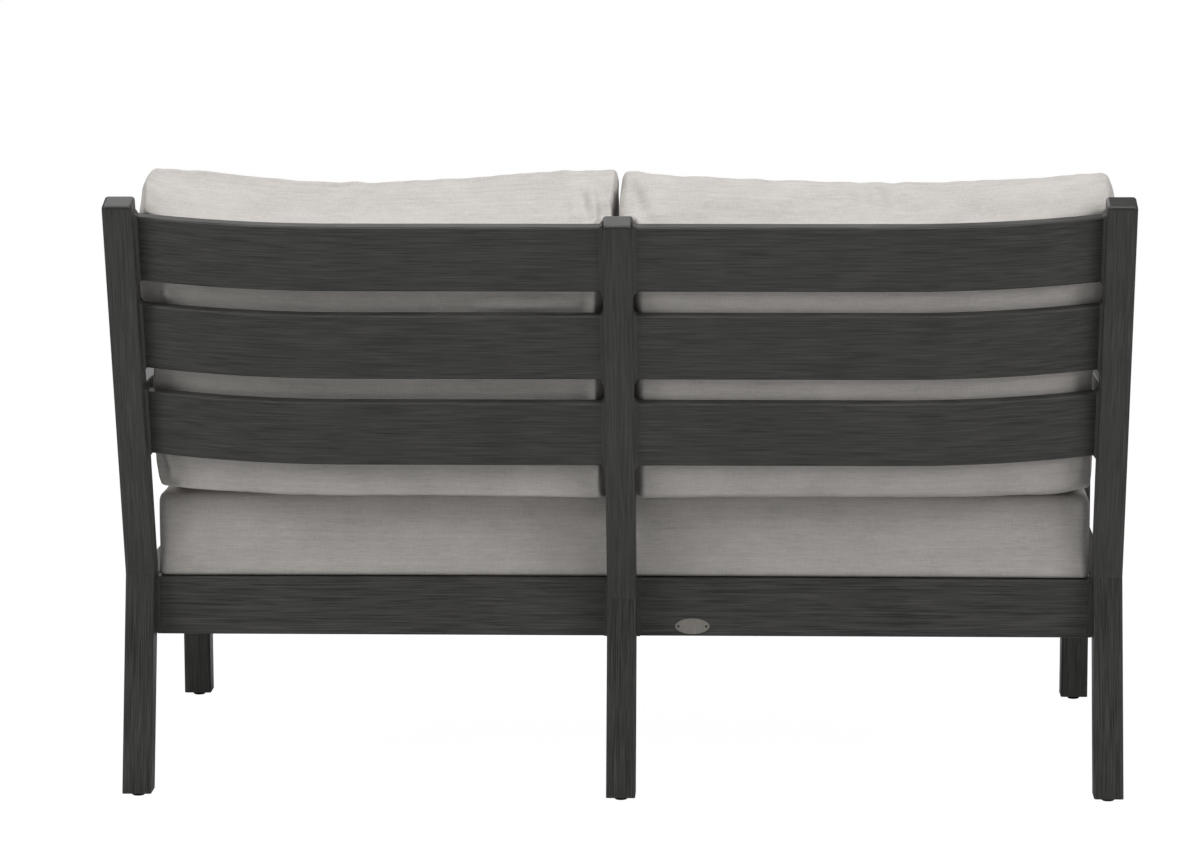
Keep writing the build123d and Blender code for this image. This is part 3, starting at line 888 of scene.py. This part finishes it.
class LOVESEAT_OT_fit_feet(Operator):
    """Turns the nylon glides and colours the plugs that hold them"""

    bl_idname = "loveseat.fit_feet"
    bl_label = "Fit Feet"

    # The glide's outline: how far out as shares of its radius, and how high as shares of its height
    OUTLINE_SHARES = ((0, 0), (0.84, 0), (0.95, 0.12), (1, 0.34), (1, 0.9), (0.97, 1))
    STEM_SHARE = 0.4

    # Points nearer than this share of the radius become one; edges over the angle stay sharp
    MERGE_SHARE = 0.001
    SHARP_ANGLE = radians(35)

    def execute(self, context):
        nylon = black_nylon("black_nylon")
        dress([name for name in nodes if "plug" in name], nylon)
        glides = [name for name in nodes if "glide" in name]
        for name in glides:
            self.turn(name, nylon)
        return {"FINISHED"}

    def turn(self, node, nylon):
        """A glide turned in one piece with its stem, in place of the CAD glide."""
        low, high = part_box(node)
        middle = (low + high) / 2
        radius = (high.x - low.x) / 2
        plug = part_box(node.replace("glide", "leg_plug"))[0].z
        stem = radius * self.STEM_SHARE
        outline = [(radius * out, low.z + (plug - low.z) * up) for out, up in self.OUTLINE_SHARES]
        outline += [(stem, plug), (stem, high.z), (0, high.z)]
        mesh = bmesh.new()
        ring = [mesh.verts.new(Vector((middle.x + out, middle.y, height))) for out, height in outline]
        edges = [mesh.edges.new(pair) for pair in zip(ring, ring[1:])]
        bmesh.ops.spin(
            mesh,
            geom=ring + edges,
            cent=Vector((middle.x, middle.y, 0)),
            axis=UPWARD,
            angle=2 * pi,
            steps=36,
            use_merge=True,
        )
        bmesh.ops.remove_doubles(mesh, verts=mesh.verts, dist=radius * self.MERGE_SHARE)
        add_piece(mesh, f"{node}_turned", nylon, node, self.SHARP_ANGLE)


class LOVESEAT_OT_fit_plate(Operator):
    """Finishes the blank oval plate and its rivets"""

    bl_idname = "loveseat.fit_plate"
    bl_label = "Fit Oval Plate"

    def execute(self, context):
        dress(["oval_plate"], brushed_steel("plate_steel"))
        dress(["plate_rivets"], dull_rivet("rivet_metal"))
        return {"FINISHED"}


class LOVESEAT_OT_weave_fabric(Operator):
    """Weaves the taupe fabric of the covers"""

    bl_idname = "loveseat.weave_fabric"
    bl_label = "Weave Fabric"

    def execute(self, context):
        woven_fabric("cushion_weave")
        return {"FINISHED"}


class LOVESEAT_OT_sew_seat_cushion(Operator):
    """Sews the bench seat cushion"""

    bl_idname = "loveseat.sew_seat_cushion"
    bl_label = "Sew Seat Cushion"

    # Cells of the cover across, deep and high, and how round its boxing is at the top and at the bottom
    CELLS = (124, 62, 14)
    ROUNDING_POWER = 2.6
    TOP_ROUNDING_SHARE = 0.6
    BOTTOM_ROUNDING_SHARE = 0.22

    # Pressure, how much larger the panels are cut, how far they may move, and how full the pad is
    PRESSURE = 2.5
    SLACK_SHARE = 0.012
    BLOW_LIMIT = 0.007
    FILL_SHARE = 0.8

    def execute(self, context):
        settings = context.scene.loveseat_cushions
        low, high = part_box("seat_cushion")
        edge = seat_surface(high.x, high.y)
        middle = (low + high) / 2
        half_y = (high.y - low.y) / 2
        half_x = span("arm_left", ACROSS)[0] - settings.clearance
        floor = low.z + settings.clearance
        half_z = (edge - floor) / 2
        cover = Cover("seat_cushion_cover", (2 * half_x, 2 * half_y, 2 * half_z), self.CELLS, seed=1)
        cover.build()

        def shape(unit):
            a, b, c = unit
            rounding_share = self.TOP_ROUNDING_SHARE if c > 0 else self.BOTTOM_ROUNDING_SHARE
            draw = settings.edge_rounding * rounding(c, self.ROUNDING_POWER) * rounding_share
            x = a * (half_x - draw)
            y = b * (half_y - draw - settings.draw_in * bulge(a) * abs(c))
            radius = settings.seat_corner
            x, y = round_corners(x, y, half_x - draw, half_y - draw, radius, radius)
            x += middle.x
            y += middle.y
            z = floor + (c + 1) * half_z
            if c > 0:
                z += c * (seat_surface(x, y) - edge)
            return Vector((x, y, z))

        cover.place(shape)
        cover.blow_up(self.PRESSURE, self.SLACK_SHARE, self.BLOW_LIMIT, settings.frames)
        cover.sew(settings.seam_depth)
        for vertex, unit in zip(cover.object.data.vertices, cover.rest):
            x, y, z = vertex.co
            z = floor if unit.z < -cover.PANEL_SHARE else max(z, floor)
            z = soft_limit(z, seat_surface(x, y))
            x = soft_floor(soft_limit(x, half_x), -half_x)
            vertex.co = Vector((x, y, z))
        cover.finish("seat_cushion", "seat_cushion", self.FILL_SHARE)
        return {"FINISHED"}


class LOVESEAT_OT_sew_back_cushions(Operator):
    """Sews the two loose back cushions, which follow the bend of the slats"""

    bl_idname = "loveseat.sew_back_cushions"
    bl_label = "Sew Back Cushions"

    # Cells of the cover across, high and deep, and its air, as for the seat cushion
    CELLS = (96, 62, 18)
    PRESSURE = 3.0
    SLACK_SHARE = 0.02
    BLOW_LIMIT = 0.010
    FILL_SHARE = 0.7

    # Rises up the back: where the boxing widens over the arm, where its side seams gather, where its top
    # leans in, and where it tucks in at the foot
    WIDEN_RISES = (0.635, 0.76)
    GATHER_RISES = (0.60, 0.70)
    LEAN_RISES = (0.84, 0.925)
    TUCK_RISE = 0.455

    # How far the top leans in; how high and how deep the tuck is, and by how much each side's differs
    LEAN = 0.011
    TUCK_REACH = 0.045
    TUCK_DEPTH = 0.0055
    TUCK_DIFFERENCE = 0.0025

    # How round the boxing is at the bottom, the outer and the inner side; how much of that is lost at the
    # lower corners and kept beside the arm; and how far the inner seams draw back, as shares of the
    # distance between the CAD solid and the middle
    BOTTOM_POWER = 2.4
    OUTER_POWER = 2.2
    INNER_POWER = 5.0
    LOW_CORNER_SHARE = 0.5
    BESIDE_ARM_SHARE = 0.35
    FRONT_SEAM_SHARE = 0.5
    REAR_SEAM_SHARES = {"left": 2.6, "right": 0.8}

    # Corner radii, across and up, as shares of the set one
    CORNER_SHARES = {"outer": (0.8, 1.1), "inner": (0.5, 1.6), "bottom": (0.25, 0.25)}

    # The crown of the top and how far all of it is lowered; how flat the crown of the front is
    TOP_CROWN = 0.007
    TOP_DROP = 0.004
    FRONT_FLATNESS = 0.6

    # How far the outer edge of the rear panel is drawn forward, and over what width
    EDGE_DRAW = 0.020
    EDGE_REACH = 0.018

    # Over the upper slat: how far the cover leans back, and over what widths that starts at its sides;
    # then how steeply it swells past the side and over the cap of the middle post, and how much of the
    # radius of the slats' bend it follows at most
    LEAN_BACK_SHARE = 0.4
    POST_FADE = 0.02
    OUTER_FADE = 0.06
    BESIDE_POST_SLOPE = 3
    OVER_CAP_SLOPE = 1.6
    BEND_SHARE = 0.9

    # Height of the cover below the slats; air over an arm; then how the bottom lies over the seat: its
    # air, its waves and how many a metre has, its lift, and where that starts and ends behind the seat
    BELOW_SLATS = 0.08
    ARM_AIR = 0.004
    BOTTOM_AIR = 0.0026
    BOTTOM_WAVE = 0.0015
    BOTTOM_WAVES = 11
    BOTTOM_LIFT = 0.003
    LIFT_START = -0.005
    LIFT_END = 0.03

    # Where each cushion's top sags; then for each: how deep, how narrowly, how far its upper corner
    # reaches out and how far its ears stand over the CAD solid
    SAG_PLACE_SHARE = 0.58
    SAGS = {"left": (0.021, 2.0, 0.007, 0.019), "right": (0.0145, 1.3, 0.024, 0.016)}

    # Creases: start and end as distance from the middle, height up the back and depth to the rear, then
    # depth and width of the crease
    CREASES = {
        "left": (
            ((0.372, 0.905, 0.000), (0.388, 0.902, 0.120), 0.0055, 0.0085),
            ((0.400, 0.905, 0.030), (0.398, 0.902, 0.120), 0.0030, 0.0085),
            ((0.040, 0.914, 0.050), (0.030, 0.905, 0.130), 0.0050, 0.0060),
            ((0.064, 0.914, 0.060), (0.058, 0.905, 0.130), 0.0030, 0.0060),
            ((0.200, 0.775, 0.130), (0.060, 0.779, 0.130), 0.0050, 0.0070),
            ((0.658, 0.552, 0.120), (0.636, 0.500, 0.120), 0.0070, 0.0060),
            ((0.652, 0.540, 0.120), (0.646, 0.482, 0.120), 0.0050, 0.0050),
            ((0.660, 0.802, 0.120), (0.630, 0.776, 0.120), 0.0065, 0.0075),
        ),
        "right": (
            ((0.333, 0.910, 0.000), (0.346, 0.902, 0.120), 0.0055, 0.0085),
            ((0.380, 0.910, 0.000), (0.374, 0.902, 0.090), 0.0040, 0.0085),
            ((0.010, 0.918, 0.020), (0.040, 0.905, 0.130), 0.0050, 0.0080),
            ((0.026, 0.796, 0.125), (0.105, 0.774, 0.137), 0.0065, 0.0065),
            ((0.030, 0.806, 0.125), (0.070, 0.798, 0.137), 0.0035, 0.0055),
            ((0.026, 0.664, 0.125), (0.095, 0.643, 0.137), 0.0060, 0.0060),
            ((0.656, 0.552, 0.120), (0.636, 0.498, 0.120), 0.0065, 0.0060),
            ((0.656, 0.804, 0.120), (0.616, 0.776, 0.120), 0.0065, 0.0080),
        ),
    }

    def execute(self, context):
        for side_name, side in SIDES.items():
            self.sew(context.scene.loveseat_cushions, side_name, side)
        return {"FINISHED"}

    def sew(self, settings, side_name, side):
        node = f"back_cushion_{side_name}"
        inner, outer = sorted(abs(place) for place in span(node, ACROSS))
        high = span(node, UP_BACK)[1]
        front, rear = span(node, BACK_REAR)
        front_seam = front + settings.back_crown
        slat_end, slat_rear = span(f"upper_slat_{side_name}", BACK_REAR)
        slat_front = slat_rear - settings.slat_thickness
        slat_sag = slat_front - slat_end
        slats_low = span(f"lower_slat_{side_name}", UP_BACK)[0]
        slats_high = span(f"upper_slat_{side_name}", UP_BACK)[1]
        post_x = span("back_post_left", ACROSS)[0]
        post_front = span("back_post_left", BACK_REAR)[0]
        middle_post_front = span("back_post_middle", BACK_REAR)[0] - settings.clearance
        middle_post_x = span("back_post_middle", ACROSS)[1]
        cap_top = span("post_cap_middle", UP_BACK)[1] + settings.clearance
        run = post_x - settings.straight_half
        bend = (run**2 + slat_sag**2) / (2 * slat_sag)
        arm_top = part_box("arm_left")[1].z
        seat_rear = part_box("seat_cushion")[1].y
        base = seat_surface(outer, seat_rear) + SOFT_GAP
        sag_depth, sag_power, corner_reach, ear_lift = self.SAGS[side_name]
        sag_place = 2 * self.SAG_PLACE_SHARE - 1
        size = (outer - inner, high - slats_low + self.BELOW_SLATS, rear - front_seam)
        cover = Cover(f"back_cushion_cover_{side_name}", size, self.CELLS, seed=2 + side)
        cover.build()

        def at(x, rise, depth):
            """A place by its distance from the middle, its rise up the back and its depth to the rear."""
            return ACROSS * (side * x) + UP_BACK * rise + BACK_REAR * depth

        def rest_face(x):
            """The front of the slats at a distance from the middle of the loveseat."""
            past = min(max(abs(x) - settings.straight_half, 0), bend * self.BEND_SHARE)
            return slat_front - bend + sqrt(bend**2 - past**2) - settings.clearance

        def rear_face(x, rise):
            """How far back the cover may reach: up to the slats, and over them above the upper one."""
            from_post = ease(x, middle_post_x, middle_post_x + self.POST_FADE)
            fade = from_post * ease(outer - x, 0.0, self.OUTER_FADE)
            face = rest_face(x) + self.LEAN_BACK_SHARE * max(0.0, rise - slats_high) * fade
            beside = max(0.0, x - middle_post_x - settings.clearance) * self.BESIDE_POST_SLOPE
            above = max(0.0, rise - cap_top) * self.OVER_CAP_SLOPE
            return min(face, middle_post_front + beside + above)

        def outer_side(rise):
            """How far out the boxing reaches at a height, wider above the arms."""
            low_x = post_x - settings.arm_gap
            top_x = outer + corner_reach
            tuck = exp(-(((rise - self.TUCK_RISE) / self.TUCK_REACH) ** 2))
            tuck *= self.TUCK_DEPTH + self.TUCK_DIFFERENCE * side
            lean = self.LEAN * ease(rise, *self.LEAN_RISES)
            return low_x + (top_x - low_x) * ease(rise, *self.WIDEN_RISES) - tuck - lean

        def shape(unit):
            a, b, c = unit
            low_edge = settings.edge_rounding * rounding(c, self.BOTTOM_POWER)
            low_edge *= 1 - self.LOW_CORNER_SHARE * a**4
            dip = (a - sag_place) / (1 - sag_place if a > sag_place else 1 + sag_place)
            depth_share = (c + 1) / 2
            front_top = high + ear_lift - sag_depth * bulge(dip) ** sag_power
            top = front_top + depth_share * (slats_high - front_top)
            top += self.TOP_CROWN * bulge(c) - self.TOP_DROP
            depth = front_seam + depth_share * (rear - front_seam)
            bottom = (base + low_edge + depth * UP_BACK.y) / UP_BACK.z
            rise = bottom + (b + 1) / 2 * (top - bottom)
            gather = self.BESIDE_ARM_SHARE + (1 - self.BESIDE_ARM_SHARE) * ease(rise, *self.GATHER_RISES)
            out_x = outer_side(rise) - settings.side_seam * gather * rounding(c, self.OUTER_POWER)
            seam_share = self.REAR_SEAM_SHARES[side_name] if c > 0 else self.FRONT_SEAM_SHARE
            in_x = settings.clearance + inner * seam_share * rounding(c, self.INNER_POWER)
            half_x = (out_x - in_x) / 2
            half_rise = (top - bottom) / 2
            corner = "bottom" if b < 0 else "outer" if a > 0 else "inner"
            radii = [settings.back_corner * share for share in self.CORNER_SHARES[corner]]
            x, level = round_corners(a * half_x, b * half_rise, half_x, half_rise, *radii)
            x += (in_x + out_x) / 2
            rise = level + (top + bottom) / 2
            face = rear_face(x, rise)
            face -= self.EDGE_DRAW * gather * exp(-(half_x - a * half_x) / self.EDGE_REACH)
            depth = front_seam + depth_share * (face - front_seam)
            if c < 0:
                depth += c * settings.back_crown * (bulge(a) * bulge(b)) ** self.FRONT_FLATNESS
            return at(x, rise, depth)

        cover.place(shape)
        cover.blow_up(self.PRESSURE, self.SLACK_SHARE, self.BLOW_LIMIT, settings.frames)
        cover.sew(settings.seam_depth)
        creases = self.CREASES[side_name]
        cover.fold([(at(*start), at(*end), depth, width) for start, end, depth, width in creases])
        for vertex in cover.object.data.vertices:
            x = side * vertex.co.x
            rise = vertex.co.dot(UP_BACK)
            depth = soft_limit(vertex.co.dot(BACK_REAR), rear_face(x, rise))
            x = soft_floor(x, settings.clearance, SOFTNESS / 2)
            reach = post_x - settings.clearance
            if vertex.co.z > arm_top + self.ARM_AIR:
                reach += max(0.0, post_front - settings.clearance - depth)
            x = soft_limit(x, reach, SOFTNESS / 2)
            vertex.co = at(x, rise, depth)
            lift = self.BOTTOM_LIFT * bulge(2 * (x - inner) / (outer - inner) - 1)
            lift *= ease(vertex.co.y, seat_rear + self.LIFT_START, seat_rear + self.LIFT_END)
            wave = self.BOTTOM_WAVE * noise.noise(Vector((vertex.co.x * self.BOTTOM_WAVES, side, 0)))
            rest = seat_surface(vertex.co.x, vertex.co.y) + SOFT_GAP + self.BOTTOM_AIR + wave + lift
            vertex.co.z = soft_floor(vertex.co.z, rest)
        cover.finish(node, node, self.FILL_SHARE)


class LOVESEAT_OT_set_stage(Operator):
    """Lays the pale floor and sets the lights, the sky and the camera"""

    bl_idname = "loveseat.set_stage"
    bl_label = "Set Stage"

    FLOOR_SIZE = 30.0
    WHITE = (1, 1, 1, 1)

    # Square lights: name, place, side, the setting that gives their power, and the share they take of it
    LAMPS = (
        ("overhead_light", (0.0, 0.5, 3.4), 3.4, "key_power", 1),
        ("left_light", (3.4, 2.7, 2.4), 1.8, "fill_power", 1),
        ("right_light", (-3.4, 2.7, 2.4), 1.8, "fill_power", 1),
        ("front_light", (0.6, -3.6, 2.6), 2.4, "fill_power", 0.5),
    )

    def execute(self, context):
        stage = context.scene.loveseat_stage
        self.lay_floor(stage)
        self.light(stage)
        self.sky(stage)
        self.aim_camera(stage)
        context.scene.view_settings.view_transform = "Standard"
        return {"FINISHED"}

    def lay_floor(self, stage):
        mesh = bmesh.new()
        bmesh.ops.create_grid(mesh, x_segments=2, y_segments=2, size=self.FLOOR_SIZE)
        data = bpy.data.meshes.new("pale_floor")
        mesh.to_mesh(data)
        mesh.free()
        floor = bpy.data.objects.new("pale_floor", data)
        bpy.context.scene.collection.objects.link(floor)
        shader = Shader(bpy.data.materials.new("floor_white"))
        matt = shader.node("ShaderNodeBsdfDiffuse", {}, {"Color": tuple(stage.floor_colour) + (1.0,)})
        white = shader.node(
            "ShaderNodeEmission", {}, {"Color": self.WHITE, "Strength": stage.backdrop_strength}
        )
        share = shader.camera_rays() * stage.backdrop_share
        mixed = shader.node("ShaderNodeMixShader", {}, (share, matt, white))
        shader.node("ShaderNodeOutputMaterial", {}, {"Surface": mixed})
        data.materials.append(shader.owner)

    def light(self, stage):
        centre = (cad_low + cad_high) / 2
        for name, place, side, power, share in self.LAMPS:
            lamp = bpy.data.lights.new(name, "AREA")
            lamp.shape = "SQUARE"
            lamp.size = side
            lamp.energy = getattr(stage, power) * share
            holder = bpy.data.objects.new(name, lamp)
            holder.location = place
            holder.rotation_mode = "QUATERNION"
            holder.rotation_quaternion = (centre - Vector(place)).to_track_quat("-Z", "Y")
            bpy.context.scene.collection.objects.link(holder)

    def sky(self, stage):
        shader = Shader(bpy.data.worlds.new("soft_sky"))
        even, backdrop = (
            shader.node("ShaderNodeBackground", {}, {"Color": self.WHITE, "Strength": strength})
            for strength in (stage.sky_strength, 1.0)
        )
        mixed = shader.node("ShaderNodeMixShader", {}, (shader.camera_rays(), even, backdrop))
        shader.node("ShaderNodeOutputWorld", {}, {"Surface": mixed})
        bpy.context.scene.world = shader.owner

    def aim_camera(self, stage):
        camera = bpy.data.cameras.new("photo_camera")
        camera.lens = stage.lens
        camera.sensor_width = 36.0
        camera.clip_end = 100.0
        holder = bpy.data.objects.new("photo_camera", camera)
        yaw, pitch, roll = stage.yaw, stage.pitch, stage.roll
        ahead = Vector((sin(yaw) * cos(pitch), -cos(yaw) * cos(pitch), -sin(pitch)))
        level = ahead.cross(UPWARD).normalized()
        lifted = level.cross(ahead)
        right = level * cos(roll) + lifted * sin(roll)
        up = lifted * cos(roll) - level * sin(roll)
        turn = Matrix((right, up, -ahead)).transposed()
        holder.matrix_world = Matrix.Translation(Vector(stage.camera_place)) @ turn.to_4x4()
        bpy.context.scene.collection.objects.link(holder)
        bpy.context.scene.camera = holder


class LOVESEAT_PT_dressing(Panel):
    """Lists the settings and steps that dress the loveseat"""

    bl_idname = "LOVESEAT_PT_dressing"
    bl_label = "Loveseat Dressing"
    bl_space_type = "VIEW_3D"
    bl_region_type = "UI"
    bl_category = "Loveseat"

    def draw(self, context):
        scene = context.scene
        for operator in OPERATORS:
            self.layout.operator(operator.bl_idname)
        for group in (scene.loveseat_paint, scene.loveseat_cushions, scene.loveseat_stage):
            box = self.layout.box()
            for name in group.__annotations__:
                box.prop(group, name)


SETTINGS = (PaintSettings, CushionSettings, StageSettings)
OPERATORS = (
    LOVESEAT_OT_set_stage,
    LOVESEAT_OT_paint_frame,
    LOVESEAT_OT_fit_caps,
    LOVESEAT_OT_fit_feet,
    LOVESEAT_OT_fit_plate,
    LOVESEAT_OT_weave_fabric,
    LOVESEAT_OT_sew_seat_cushion,
    LOVESEAT_OT_sew_back_cushions,
)


def register():
    for kind in SETTINGS + OPERATORS + (LOVESEAT_PT_dressing,):
        bpy.utils.register_class(kind)
    bpy.types.Scene.loveseat_paint = PointerProperty(type=PaintSettings)
    bpy.types.Scene.loveseat_cushions = PointerProperty(type=CushionSettings)
    bpy.types.Scene.loveseat_stage = PointerProperty(type=StageSettings)


def unregister():
    del bpy.types.Scene.loveseat_stage
    del bpy.types.Scene.loveseat_cushions
    del bpy.types.Scene.loveseat_paint
    for kind in reversed(SETTINGS + OPERATORS + (LOVESEAT_PT_dressing,)):
        bpy.utils.unregister_class(kind)


def main():
    register()
    bpy.ops.loveseat.set_stage()
    bpy.ops.loveseat.paint_frame()
    bpy.ops.loveseat.fit_caps()
    bpy.ops.loveseat.fit_feet()
    bpy.ops.loveseat.fit_plate()
    bpy.ops.loveseat.weave_fabric()
    bpy.ops.loveseat.sew_seat_cushion()
    bpy.ops.loveseat.sew_back_cushions()


if __name__ == "__main__":
    main()
